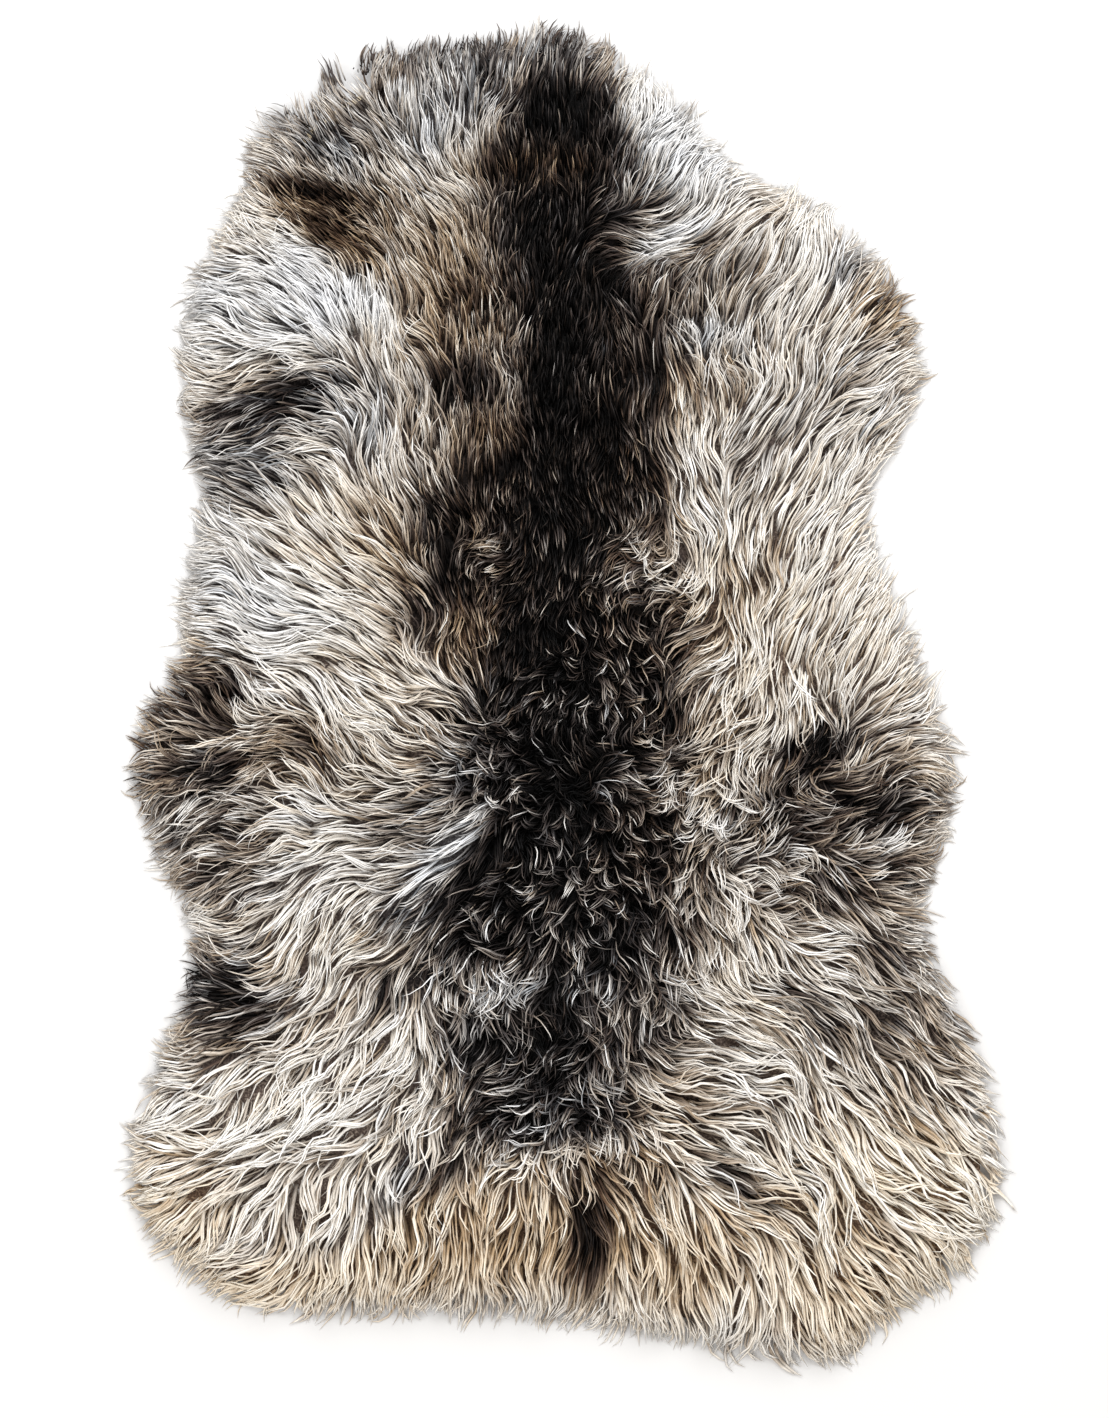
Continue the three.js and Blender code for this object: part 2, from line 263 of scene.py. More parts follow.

# %% [markdown]
# ## Where the wool is dark and where it is pale
#
# The fleece is black along the backbone, brown beside it, cream and silver on the flanks and tan at the
# tail. It is painted as a dyer would, with soft oval dabs laid one over another. The same dabs also paint
# shade: grey and dark in the partings and hollows, and warm light on the shaded rim at the tail, there
# together with the tan of the wool. Each dab has its middle, its half length and half width, its turn, and
# then three numbers in percent: how dark the wool is painted there, its pigment together with that painted
# shade (0 white, 100 black), how warm that is (0 silver grey, 100 tan or brown, and more for the tan wool of
# the rump), and how strongly the dab covers.

# %% The dyer's table: x, y, half length, half width, turn, and pigment with painted shade, warmth and strength in percent
# the dark dabs in the partings and hollows are painted shade, not wool of a darker colour
DABS = np.array([
    # neck
    (-168, 455, 75, 48, 20, 50, 45, 90), (-111, 521, 95, 22, 0, 50, 35, 80),
    (-217, 486, 44, 28, 30, 40, 35, 80), (-108, 468, 48, 26, 70, 26, 12, 90),
    (-108, 400, 50, 42, 0, 26, 55, 80), (-56, 395, 65, 26, 90, 48, 60, 80),
    (-72, 502, 40, 30, 90, 54, 20, 90), (66, 402, 46, 36, 0, 50, 25, 80), (2, 528, 42, 30, 90, 50, 35, 80),
    (-6, 470, 42, 44, 90, 100, 40, 100), (27, 440, 46, 36, 90, 93, 50, 100),
    (-32, 429, 36, 17, 0, 74, 75, 90), (-16, 526, 30, 18, 0, 50, 35, 80), (90, 448, 60, 36, -45, 16, 10, 90),
    (-160, 392, 46, 26, -30, 62, 80, 80), (125, 360, 36, 30, 0, 40, 40, 70),
    (-184, 330, 48, 18, -30, 6, 10, 90), (-184, 438, 30, 13, -40, 36, 0, 60),
    # left shoulder
    (-201, 332, 62, 46, 60, 10, 10, 100), (-275, 316, 52, 42, 0, 22, 10, 90),
    (-94, 324, 75, 40, 90, 45, 85, 90), (-60, 312, 36, 32, 90, 64, 80, 90),
    (-226, 236, 70, 27, 16, 70, 35, 100), (-279, 209, 38, 26, 0, 50, 30, 90),
    (-258, 176, 52, 26, 0, 54, 10, 80), (-165, 225, 48, 36, 0, 34, 15, 80),
    (-119, 215, 48, 26, 90, 34, 60, 90),
    # back above the whorl
    (-16, 379, 60, 40, 90, 98, 40, 100), (-12, 430, 48, 19, 0, 76, 95, 90),
    (34, 312, 75, 40, 90, 88, 55, 100), (42, 396, 40, 17, 95, 62, 35, 85),
    (-8, 245, 140, 34, 90, 98, 45, 100), (-78, 250, 36, 26, 0, 80, 50, 90),
    (-61, 214, 30, 24, 0, 68, 85, 80), (-102, 138, 36, 33, 90, 80, 35, 90),
    (-66, 158, 50, 40, 90, 76, 75, 90), (-114, 86, 48, 30, 90, 68, 50, 90),
    (45, 200, 75, 35, 90, 86, 60, 100), (-4, 140, 75, 50, 90, 93, 50, 100), (-70, 94, 44, 36, 0, 80, 60, 90),
    (-74, 47, 36, 30, 0, 57, 95, 90), (14, 60, 60, 58, 0, 92, 60, 100), (-20, 40, 50, 34, 90, 97, 50, 100),
    # right shoulder
    (193, 348, 75, 48, 45, 20, 45, 90), (264, 312, 28, 32, 0, 52, 95, 90),
    (230, 346, 26, 14, 45, 50, 10, 80), (246, 250, 55, 48, 0, 30, 40, 80),
    (103, 316, 60, 44, 90, 53, 45, 90), (111, 240, 32, 26, 0, 40, 80, 90),
    (108, 183, 70, 28, 85, 18, 55, 100), (176, 217, 65, 42, 60, 33, 45, 80),
    (147, 312, 62, 34, 70, 34, 50, 70), (66, 262, 75, 20, 90, 70, 60, 90), (72, 170, 60, 20, 90, 64, 60, 80),
    # right flank
    (226, 111, 65, 58, 0, 18, 55, 80), (136, 78, 50, 36, 60, 34, 85, 90), (70, 99, 42, 15, 15, 42, 50, 80),
    (176, 37, 65, 42, 40, 19, 75, 80), (240, 36, 55, 42, 0, 22, 65, 80), (115, -37, 44, 42, 0, 36, 75, 80),
    (266, -37, 32, 26, 0, 46, 60, 70), (184, -66, 38, 22, 40, 67, 50, 90),
    (212, -40, 28, 17, 20, 92, 40, 100), (240, -92, 70, 27, 5, 79, 50, 90),
    (274, -134, 44, 22, 0, 34, 50, 90), (160, -111, 44, 30, 0, 66, 50, 85),
    (228, -154, 65, 24, 5, 62, 50, 90), (138, -180, 34, 24, 0, 36, 60, 80), (74, 30, 60, 28, 90, 76, 60, 90),
    (72, -28, 48, 34, 90, 78, 50, 90), (270, -205, 45, 30, 0, 46, 45, 80),
    # left flank
    (-184, 111, 65, 48, -50, 18, 70, 90), (-143, 127, 48, 28, -70, 33, 85, 80),
    (-234, 61, 65, 38, -25, 8, 15, 90), (-283, 94, 38, 62, 0, 26, 15, 70),
    (-168, 4, 65, 36, -35, 21, 70, 90), (-209, 4, 44, 22, 0, 14, 35, 80), (-291, 4, 38, 32, 40, 68, 60, 90),
    (-328, -50, 55, 28, 80, 56, 65, 90), (-287, -66, 25, 23, 0, 82, 40, 100),
    (-225, -41, 48, 30, 0, 50, 75, 90), (-176, -94, 44, 28, 0, 40, 70, 80),
    (-299, -111, 38, 28, 0, 48, 40, 80), (-215, -96, 44, 22, 0, 14, 40, 90),
    (-262, -104, 30, 26, 0, 52, 50, 80), (-127, -48, 38, 32, 0, 32, 60, 80),
    (-119, -111, 44, 28, 0, 58, 30, 80), (-196, -150, 68, 36, 10, 20, 40, 90),
    (-280, -150, 40, 30, 0, 56, 50, 80), (-275, -234, 44, 30, 0, 74, 35, 100),
    (-272, -270, 40, 26, 0, 62, 50, 80), (-195, -212, 65, 42, 0, 24, 60, 80),
    (-145, -246, 24, 16, 60, 58, 30, 80),
    # middle, round the whorl and below it
    (-4, -45, 80, 60, 90, 98, 35, 100), (-58, -14, 38, 36, 0, 92, 40, 90), (-80, -62, 32, 30, 0, 64, 30, 90),
    (-4, -127, 75, 68, 0, 92, 35, 100), (-60, -150, 44, 50, 0, 88, 35, 90),
    (-50, -188, 62, 36, 0, 93, 35, 100), (70, -135, 48, 58, 0, 76, 55, 90),
    (46, -210, 60, 42, 0, 88, 30, 90), (-24, -242, 60, 18, 0, 54, 15, 90),
    (-66, -286, 40, 36, 0, 80, 20, 90), (80, -262, 34, 30, 0, 55, 40, 80), (45, -283, 36, 34, 0, 68, 40, 90),
    (-102, -225, 32, 22, 0, 72, 30, 80), (-4, -283, 46, 28, 90, 98, 35, 100),
    (-20, -292, 30, 22, 0, 96, 30, 90), (-20, -342, 55, 28, 0, 78, 15, 90),
    (-70, -344, 30, 27, 0, 77, 40, 80), (29, -338, 34, 20, 0, 76, 30, 90),
    (-122, -166, 42, 24, 45, 62, 20, 80),
    # rump and tail edge
    (-53, -440, 135, 48, 0, 34, 115, 90), (44, -388, 60, 24, 0, 46, 80, 80),
    (-220, -357, 85, 52, 20, 12, 55, 80), (-316, -406, 48, 48, 0, 20, 95, 80),
    (-106, -384, 38, 17, 20, 58, 50, 80), (-124, -338, 28, 22, 0, 36, 50, 60),
    (-102, -447, 38, 12, 80, 46, 80, 80), (-230, -381, 34, 10, 35, 36, 50, 80),
    (-186, -444, 28, 15, 50, 22, 15, 70), (-142, -404, 32, 17, 60, 34, 10, 70),
    # the pale warm dabs along the bottom rim are partly the tan wool, partly painted warm light on the rim
    # that lies in shade
    (-152, -471, 62, 30, 0, 24, 110, 70), (-262, -490, 85, 26, 12, 20, 120, 80),
    (-325, -440, 50, 30, -50, 18, 120, 80), (20, -443, 42, 17, 85, 76, 70, 100),
    (100, -462, 52, 42, 0, 25, 120, 80), (234, -496, 75, 42, 0, 21, 115, 80),
    (318, -446, 60, 26, 52, 12, 120, 80), (275, -381, 75, 48, -20, 10, 110, 90),
    (205, -440, 90, 48, -30, 20, 120, 50), (275, -266, 48, 40, -60, 45, 50, 80),
    (312, -291, 42, 22, -60, 36, 60, 80), (152, -262, 75, 28, -55, 24, 65, 80),
    (209, -266, 62, 16, -50, 60, 40, 80), (242, -316, 62, 27, -35, 28, 60, 70),
    (92, -334, 44, 30, 0, 44, 75, 70), (140, -397, 36, 11, -40, 64, 40, 80),
    # pale tufts that stand out from darker wool
    (84, 370, 42, 10, 28, 6, 10, 90), (-98, -128, 54, 15, 48, 12, 10, 85), (114, 292, 26, 13, 10, 26, 0, 55),
    (134, -112, 36, 12, -40, 16, 30, 50), (-62, 121, 14, 12, 0, 28, 60, 80),
    # slit in the neck wool
    (-191, 378, 58, 20, -36, 67, 100, 100), (-199, 407, 44, 8, -14, 90, 90, 100),
]) / [1, 1, 1, 1, 1, 100, 100, 100]
BARE_PIGMENT, BARE_WARMTH = 0.22, 0.55


def tone_at(points):
    """Pigment with painted shade, and warmth, at each point. Every dab covers what is under it, by its
    strength times e to the minus r cubed, where r is the distance from its middle and is 1 on its oval."""
    pigment_and_shade = np.full(len(points), BARE_PIGMENT)
    warmth = np.full(len(points), BARE_WARMTH)
    for x, y, long, wide, turn, dark, warm, strength in DABS:
        c, s = np.cos(np.radians(turn)), np.sin(np.radians(turn))
        off = points - np.array([x, y]) * MM
        u = (off[:, 0] * c + off[:, 1] * s) / (long * MM)
        v = (off[:, 1] * c - off[:, 0] * s) / (wide * MM)
        cover = strength * np.exp(-((u * u + v * v) ** 1.5))
        pigment_and_shade += cover * (dark - pigment_and_shade)
        warmth += cover * (warm - warmth)
    return pigment_and_shade, warmth


PIGMENT_AND_SHADE_MAP, WARMTH_MAP = [tone.reshape(GRID) for tone in tone_at(map_points)]
print(f"{len(DABS)} dabs of pigment")

# %% [markdown]
# ## From locks to fibres
#
# Wool grows in locks: a few fibres cling together, bend as one and come to a point. So the locks are laid
# first, on close triangular nets with each knot nudged at random, and the longer the wool, the wider the
# net. Every lock follows the lie of the wool in short steps, as a leaf drifts down a stream. Each starts
# some way upstream of its knot, so that the wool closes over the partings. A particle system could do this
# too, but its hair has no faces, and a rug made of faces can be used anywhere.

# %% How a lock lies
LOCK_STEPS = 12
BACK_STEPS = 6
ROOT_INSET = 12 * MM
LENGTH_RANGE = (0.65, 1.2)  # of the length in the table


def drift(start, heading, length, twist, bend, steps):
    """Paths in equal steps along the lie, turned by the twist all the way and by the bend near the tip."""
    path = [start]
    for step in range(steps):
        half = 0.5 * np.arctan2(look_up(LIE_SIN, path[-1]), look_up(LIE_COS, path[-1]))
        line = np.stack([np.cos(half), np.sin(half)], axis=-1)
        heading = line * np.where((line * heading).sum(-1) < 0, -1, 1)[:, None]
        turn = twist + bend * ((step + 0.5) / steps) ** 1.5
        c, s = np.cos(turn)[:, None], np.sin(turn)[:, None]
        x, y = heading[:, :1], heading[:, 1:]
        pace = (length / steps)[:, None]
        path.append(path[-1] + np.concatenate([x * c - y * s, x * s + y * c], axis=1) * pace)
    return np.stack(path, axis=1), heading


def lay_locks(knots, gap, scale, upstream, unruly):
    """Locks at their knots: length and curl from the maps, root upstream, a twist and bend of their own."""
    count = len(knots)
    length = look_up(LENGTH_MAP, knots) * rng.uniform(*LENGTH_RANGE, count) * scale
    curl = look_up(CURL_MAP, knots)
    lean = np.stack([look_up(LEAN_X, knots), look_up(LEAN_Y, knots)], axis=-1)
    lean += rng.normal(0, 0.15, lean.shape)
    still = np.zeros(count)
    way_back = length * rng.uniform(0, upstream, count)
    back, back_heading = drift(knots, -lean, way_back, still, still, BACK_STEPS)
    inside = (look_up(INWARD_MAP, back[:, -1]) > ROOT_INSET)[:, None]
    return {"knot": knots, "gap": gap + np.zeros(count), "root": np.where(inside, back[:, -1], knots),
            "heading": np.where(inside, -back_heading, lean), "length": length, "curl": curl,
            "twist": rng.normal(0, np.radians(4 + 40 * curl ** 3)) * unruly,
            "bend": rng.normal(0, np.radians(16 + 120 * curl ** 3)) * unruly}


def lock_paths(locks):
    """The lines of the locks, from root to tip."""
    return drift(*[locks[key] for key in ("root", "heading", "length", "twist", "bend")], LOCK_STEPS)[0]


# %% Lay the locks
# the shortest wool of each net, and the gap between its knots
NETS = [(0 * MM, 9 * MM), (36 * MM, 12.5 * MM), (57 * MM, 16.5 * MM)]
NUDGE = 0.45  # of a gap


def net_of_knots(gap):
    """A triangular net over the rug, one gap between knots, each knot nudged at random."""
    net_x, net_y = np.meshgrid(np.arange(map_x[0], map_x[-1], gap),
                               np.arange(map_y[0], map_y[-1], gap * np.sqrt(3) / 2))
    net_x[1::2] += gap / 2
    knots = np.stack([net_x.ravel(), net_y.ravel()], axis=-1)
    knots += rng.uniform(-NUDGE, NUDGE, knots.shape) * gap
    return knots[look_up(INWARD_MAP, knots) > ROOT_INSET]


def spread_knots(share):
    """Knots for all the wool: the longer it is, the wider the net, by a share of the gaps in the list."""
    places, gaps = [], []
    for (shortest, gap), longest in zip(NETS, [length for length, _ in NETS[1:]] + [np.inf]):
        knots = net_of_knots(gap * share)
        length = look_up(LENGTH_MAP, knots)
        places.append(knots[(length >= shortest) & (length < longest)])
        gaps.append(np.full(len(places[-1]), gap * share))
    return np.concatenate(places), np.concatenate(gaps)


top_locks = lay_locks(*spread_knots(1.0), scale=1.0, upstream=0.5, unruly=1.0)
print(f"{len(top_locks['knot'])} locks, {top_locks['length'].mean() / MM:.0f} mm long on average")

# %% [markdown]
# ## Ground wool, bare spots and the fringe
#
# Between and under the locks is ground wool: single stout fibres that lie deep in the pile and keep the
# hide from showing. They are strewn evenly, and more closely where the wool is short. Where the streams
# part, the locks still leave bare spots, so how much wool passes over each spot is counted on a coarse
# grid, and shorter locks are planted wherever it is much thinner than usual. A fringe of short locks goes
# in all round the edge. Last, the left corner of the neck is thinned, because the real rug has only wisps
# there.

# %% Strew the ground wool
GROUND_GIRTH = 2.2 * MM
GROUND_SHARE = 0.76  # of the gap between locks
ground = spread_knots(GROUND_SHARE)[0]
ground_wool = lay_locks(ground, gap=0.0, scale=1.0, upstream=0.5, unruly=1.0)
print(f"{len(ground)} fibres of ground wool")

# %% Fill the bare spots
SPOT = 12 * MM
SPARSE = 0.6  # of the usual amount of wool
passing = lock_paths(top_locks).reshape(-1, 2)
weight = np.repeat(top_locks["length"] * top_locks["gap"], LOCK_STEPS + 1)
spot_x = np.arange(map_x[0], map_x[-1], SPOT)
spot_y = np.arange(map_y[0], map_y[-1], SPOT)
tally = np.histogram2d(passing[:, 1], passing[:, 0], [spot_y, spot_x], weights=weight)[0].ravel()
centres = np.stack(np.meshgrid(spot_x[:-1] + SPOT / 2, spot_y[:-1] + SPOT / 2), axis=-1).reshape(-1, 2)
within = look_up(INWARD_MAP, centres) > 2 * ROOT_INSET
bare = centres[within & (tally < SPARSE * np.median(tally[within]))]
bare = bare + rng.uniform(-0.3, 0.3, bare.shape) * SPOT
more_locks = lay_locks(bare, gap=SPOT, scale=0.7, upstream=0.4, unruly=1.0)
print(f"{len(bare)} locks on bare spots")

# %% Plant the fringe
FRINGE_GAP = 7 * MM
FRINGE_INSET = ROOT_INSET + 3 * MM
edge_length = np.linalg.norm(EDGE_NEXT - EDGE, axis=1).sum()
hem = inset_edge(FRINGE_INSET, int(edge_length / FRINGE_GAP))
fringe_locks = lay_locks(hem, gap=1.3 * FRINGE_GAP, scale=0.6, upstream=0.2, unruly=2.2)
print(f"{len(hem)} locks in the fringe")

# %% Gather all the locks and thin the corner of the neck
WISPY = np.array([(-227, 483), (-206, 502), (-182, 518)]) * MM
WISPY_SIZE = 26 * MM
TOP, EXTRA, FRINGE, GROUND = range(4)


def thinness(places):
    """How thin the wool is at the neck's left corner: 1 at each spot, falling off as a bell curve."""
    away = np.linalg.norm(places[:, None, :] - WISPY, axis=-1)
    return np.exp(-(away / WISPY_SIZE) ** 2).max(axis=1)


groups = {TOP: top_locks, EXTRA: more_locks, FRINGE: fringe_locks, GROUND: ground_wool}
locks = {key: np.concatenate([group[key] for group in groups.values()]) for key in ground_wool}
group_of = np.repeat(list(groups), [len(group["knot"]) for group in groups.values()])
kept = rng.random(len(group_of)) > thinness(locks["knot"])
locks = {key: values[kept] for key, values in locks.items()}
group_of = group_of[kept]
LOCKS = len(group_of)
print(f"{LOCKS} locks and lone fibres, after {np.count_nonzero(~kept)} were taken out at the corner")

# %% [markdown]
# ## Keeping the tips at the edge
#
# Round the edge the tips stop, more or less together, at the outline, where the shears left them. A lock
# that would run on past it is shortened in proportion. How far past it may still reach varies softly from
# tuft to tuft, and a little from lock to lock. At the neck the edge is more ragged: half the locks end short
# of it, and a few long wisps stand out.

# %% Shorten the locks that overrun the edge
TUFT = 15 * MM
NECK_START, NECK_RUN = 430 * MM, 60 * MM
LEAST_OVERRUN, MOST_OVERRUN = -30, 24  # in millimetres, as are the wisps and tufts


def rising(values, start, run):
    """0 up to the start, 1 from the end of the run after it, and a straight rise between."""
    return np.clip((values - start) / run, 0, 1)


lock_path = lock_paths(locks)
tips = lock_path[:, -1]
luck = rng.random(LOCKS)
ragged = rising(tips[:, 1], NECK_START, NECK_RUN) * (32 * luck ** 2 - 14)
wisps = ragged - 26 * thinness(tips) * (luck < 0.8)
tufts = 5 + 5 * smooth_noise(tips, TUFT) + rng.normal(0, 4, LOCKS)
OVERRUN = (tufts + wisps).clip(LEAST_OVERRUN, MOST_OVERRUN) * MM
for _ in range(3):
    root_in = look_up(INWARD_MAP, lock_path[:, 0])
    tip_in = look_up(INWARD_MAP, lock_path[:, -1])
    over = tip_in < -OVERRUN
    share = np.where(over, (root_in + OVERRUN) / np.maximum(root_in - tip_in, MM), 1).clip(0.2, 1)
    locks["length"] = locks["length"] * share
    lock_path = lock_paths(locks)
print(f"longest overrun {-look_up(INWARD_MAP, lock_path[:, -1]).min() / MM:.1f} mm")

# %% [markdown]
# ## Fibres inside a lock
#
# Long wool needs fewer fibres to cover the hide than short hair does, so the number in a lock follows from
# the share of ground that one fibre covers. Each fibre starts near its lock's root, closes in on the lock's
# line towards the tip, and rises out of the underwool to its own level in the pile. The fibres of a lock
# wave almost in step, and the longest wool waves most. A lock is rounded: the fibres along its sides lie
# lower than those on top of it. Fibres are coloured with painted shade and light by their level: darker and
# warmer the lower they lie, paler near the top, and a lock's sides a little darker. Here and there a fibre
# strays across the others, or stands higher as a pale guard hair. The wool at the tail is combed out, so its
# tones are more even.

# %% How many fibres each lock has
COVER = 2.38  # how many times over the fibres cover the ground
KNOT_GROUND = 0.87  # the ground of one knot in a triangular net, in square gaps
FINE, STOUT = 1.1 * MM, 1.7 * MM
SHORTEST = 20 * MM
FEWEST, MOST = 2, 30
ALONG, STOUTER = [-360, -240, 300, 450], [1.25, 1.0, 0.95, 0.8]  # stout at the tail, fine at the neck
lock_length, lock_curl = locks["length"], locks["curl"]
lone = group_of == GROUND
lock_sleek = np.maximum(rising(lock_length, 25 * MM, 25 * MM), 0.8 * lock_curl)
lock_long = rising(lock_length, 62 * MM, 25 * MM)
lock_width = FINE + (STOUT - FINE) * rising(lock_length, 20 * MM, 40 * MM)
lock_width *= np.interp(locks["knot"][:, 1] / MM, ALONG, STOUTER)
wanted = COVER * KNOT_GROUND * locks["gap"] ** 2 / (np.maximum(lock_length, SHORTEST) * lock_width)
per_lock = np.where(lone, 1, np.floor(wanted + rng.random(LOCKS)).astype(int).clip(FEWEST, MOST))
lock_of = np.repeat(np.arange(LOCKS), per_lock)
FIBRES = len(lock_of)
print(f"{FIBRES} fibres, {per_lock[~lone].mean():.1f} in a lock")

# %% What the fibres of a lock share
# the lowest and highest level of each group, as shares of the pile's height
LEVELS = np.array([(0.68, 1.0), (0.6, 0.9), (0.4, 0.75), (0.42, 0.68)])
WAVE_SHORT, WAVE_LONG = 26, 44  # in millimetres
lock_level = rng.uniform(LEVELS[group_of, 0], LEVELS[group_of, 1])
lock_shade = rng.normal(0, 0.065 + 0.05 * lock_curl + 0.015 * lock_long)
lock_tint = rng.normal(0, 0.1, LOCKS)
lock_phase = rng.uniform(0, 2 * np.pi, LOCKS)
lock_wave = rng.uniform(WAVE_SHORT, WAVE_LONG, LOCKS) * MM * (1 - 0.4 * lock_curl) * (1 + 0.35 * lock_long)
print(f"locks wave every {lock_wave.mean() / MM:.0f} mm or so")

# %% Each fibre's place in its lock
STRAYS, GUARDS = 0.05, 0.05  # shares of all fibres
STRAY_SWAY = 9 * MM
STAND_OUT = 0.12  # how much higher strays and guard hairs stand
EDGE_ZONE = 25 * MM
alone = lone[lock_of]
sleek, curly, lengthy = lock_sleek[lock_of], lock_curl[lock_of], lock_long[lock_of]
inner = rising(look_up(INWARD_MAP, lock_path[:, -1]), 0, EDGE_ZONE)[lock_of]
off_line = np.sqrt(rng.random(FIBRES))
bearing = rng.uniform(0, 2 * np.pi, FIBRES)
spread = locks["gap"][lock_of] * (0.95 - 0.53 * sleek) * off_line
offset = spread[:, None] * np.stack([np.cos(bearing), np.sin(bearing)], axis=-1)
stray = rng.random(FIBRES) < STRAYS
sway = np.where(stray, rng.normal(0, STRAY_SWAY, FIBRES), 0)
guard = rng.random(FIBRES) < GUARDS
reach = rng.uniform(0.65, 1.0, FIBRES)
closing = (rng.uniform(0.35, 0.85, FIBRES) + 0.15 * lengthy) * (0.3 + 0.7 * sleek * inner)
closing[stray] = 0
side = np.where(alone, 0, sleek * off_line ** 2)
level = lock_level[lock_of] - 0.12 * side + rng.normal(0, 0.07, FIBRES) * (1 - 0.5 * sleek)
level[stray | guard] += STAND_OUT
level = level.clip(0.4, 1.0)
phase = lock_phase[lock_of] + rng.normal(0, 0.3, FIBRES)
print(f"{np.count_nonzero(stray)} strays and {np.count_nonzero(guard)} guard hairs")

# %% Each fibre's girth, tone and number of rings
MID_LEVEL = 0.78  # neither shaded nor lit
TAIL_START, TAIL_RUN = 400 * MM, 60 * MM
RING_STEP = 16 * MM
LEAST_RINGS, MOST_RINGS = 3, 9
lock_girth = lock_width[lock_of] * (2.2 - 1.2 * level)
girth = np.where(alone, GROUND_GIRTH, lock_girth) * rng.uniform(0.8, 1.2, FIBRES)
girth[stray] *= 0.75
roll = rng.uniform(0, 2 * np.pi, FIBRES)
# painted shade and light: fibres lower in the pile are coloured darker, those near the top paler, more so in
# curly wool, and a lock's sides a little darker
depth_shade = (0.28 - 0.12 * lengthy + 0.7 * curly ** 2) * (MID_LEVEL - level)
shade = lock_shade[lock_of] + rng.normal(0, 0.045 - 0.03 * lengthy) + depth_shade + 0.03 * side - 0.03
shade -= (0.1 + 0.15 * curly) * guard
combed = rising(-locks["knot"][lock_of, 1], TAIL_START, TAIL_RUN)
shade *= 1 - 0.55 * combed
# lower fibres are also coloured warmer, as painted warm shade
tint = lock_tint[lock_of] + rng.normal(0, 0.07, FIBRES) + 0.15 * (0.8 - level)
rings_wanted = np.round(1.7 + (lock_length / RING_STEP + 3 * lock_curl ** 2)[lock_of]).astype(int)
rings_wanted = np.where(alone, LEAST_RINGS, rings_wanted.clip(LEAST_RINGS, MOST_RINGS))
print(f"{(6 * rings_wanted - 2).sum()} triangles of fibre, {girth.mean() / MM:.1f} mm thick on average")

# %% The path of each fibre
UNDERWOOL_SHARE = 0.38  # of the pile's height
ROOT_SHARE = 0.85  # of the underwool's height
FULL_WAVE = 40 * MM  # shorter wool waves less
WAVE_GROWS = 0.35  # the share of a fibre over which its wave grows


def at_height(plan, height):
    """The points of a plan, each lifted to its height."""
    return np.concatenate([plan, np.broadcast_to(height, plan.shape[:-1])[..., None]], axis=-1)


def fibre_paths(which, rings):
    """Centre lines: the lock's line, plus an offset that closes in, plus a wave, at a height that rises."""
    t = np.linspace(0, 1, rings + 1)
    lock = lock_of[which]
    at = t[None, :] * reach[which][:, None] * LOCK_STEPS
    step = np.minimum(at.astype(int), LOCK_STEPS - 1)
    part = (at - step)[..., None]
    here, there = lock_path[lock[:, None], step], lock_path[lock[:, None], step + 1]
    ahead = unit(there - here)
    aside = np.stack([-ahead[..., 1], ahead[..., 0]], axis=-1)

    curl = lock_curl[lock][:, None]
    bulk = (np.minimum(1, lock_length / FULL_WAVE) + 1.3 * lock_long)[lock][:, None]
    swell = (0.4 + 1.1 * curl) * MM * bulk
    travel = at / LOCK_STEPS * lock_length[lock][:, None]
    beat = 2 * np.pi * travel / lock_wave[lock][:, None] + phase[which][:, None]
    envelope = np.minimum(1, t / WAVE_GROWS)[None, :]
    wave = swell * envelope * np.sin(beat) + sway[which][:, None] * t ** 2
    closed = offset[which][:, None, :] * (1 - closing[which][:, None, None] * t[None, :, None])
    plan = here * (1 - part) + there * part + closed + wave[..., None] * aside

    top = look_up(HEIGHT_MAP, plan)
    low = UNDERWOOL_SHARE * ROOT_SHARE * top
    rise = 1 - (1 - t[None, :]) ** 1.7
    height = low + (level[which][:, None] * top - low) * rise + 0.4 * swell * envelope * np.cos(beat)
    return at_height(plan, np.maximum(height, 0.55 * girth[which][:, None]))


def fibre_radii(which, rings):
    """Half the fibre's girth, thinning from a third of the way along to a quarter of that at the tip."""
    t = np.linspace(0, 1, rings + 1)
    return 0.5 * girth[which][:, None] * (1 - 0.75 * rising(t, 0.3, 0.7) ** 1.5)[None, :]


print(f"fibres rise to {fibre_paths(np.arange(FIBRES), LEAST_RINGS)[..., 2].max() / MM:.0f} mm")

# %% [markdown]
# ## A fibre as a closed tube
#
# Each fibre is a thin tube of three sides. Three is the least that closes, and at a millimetre or two thick
# nobody counts them. Its rings stand across the path, and it ends in one point. The tubes of one patch of
# wool are joined into one mesh, and a map called OFBake gives each of them a strip of its own for baked
# colour.

# %% Tubes along paths
SIDES = 3
STRIP_CORNER, STRIP_SPAN = (0.1, 0.14), 0.8
ROOT_STRIP = [(0.1, 0.02), (0.9, 0.02), (0.5, 0.1)]


def tube_points(paths, radii, turns):
    """Ring k of a tube: point k of its path, plus the radius times (cos a, sin a) across it."""
    along = unit(np.gradient(paths, axis=1))
    side = unit(np.cross(along, [0.0, 0.0, 1.0]))
    up = np.cross(side, along)
    angle = turns[:, None] + np.arange(SIDES) * 2 * np.pi / SIDES
    out = (np.cos(angle)[:, None, :, None] * side[:, :, None, :]
           + np.sin(angle)[:, None, :, None] * up[:, :, None, :])
    rings = paths[:, :-1, None, :] + radii[:, :-1, None, None] * out[:, :-1]
    count = len(paths)
    return np.concatenate([rings.reshape(count, -1, 3), paths[:, -1:, :]], axis=1)


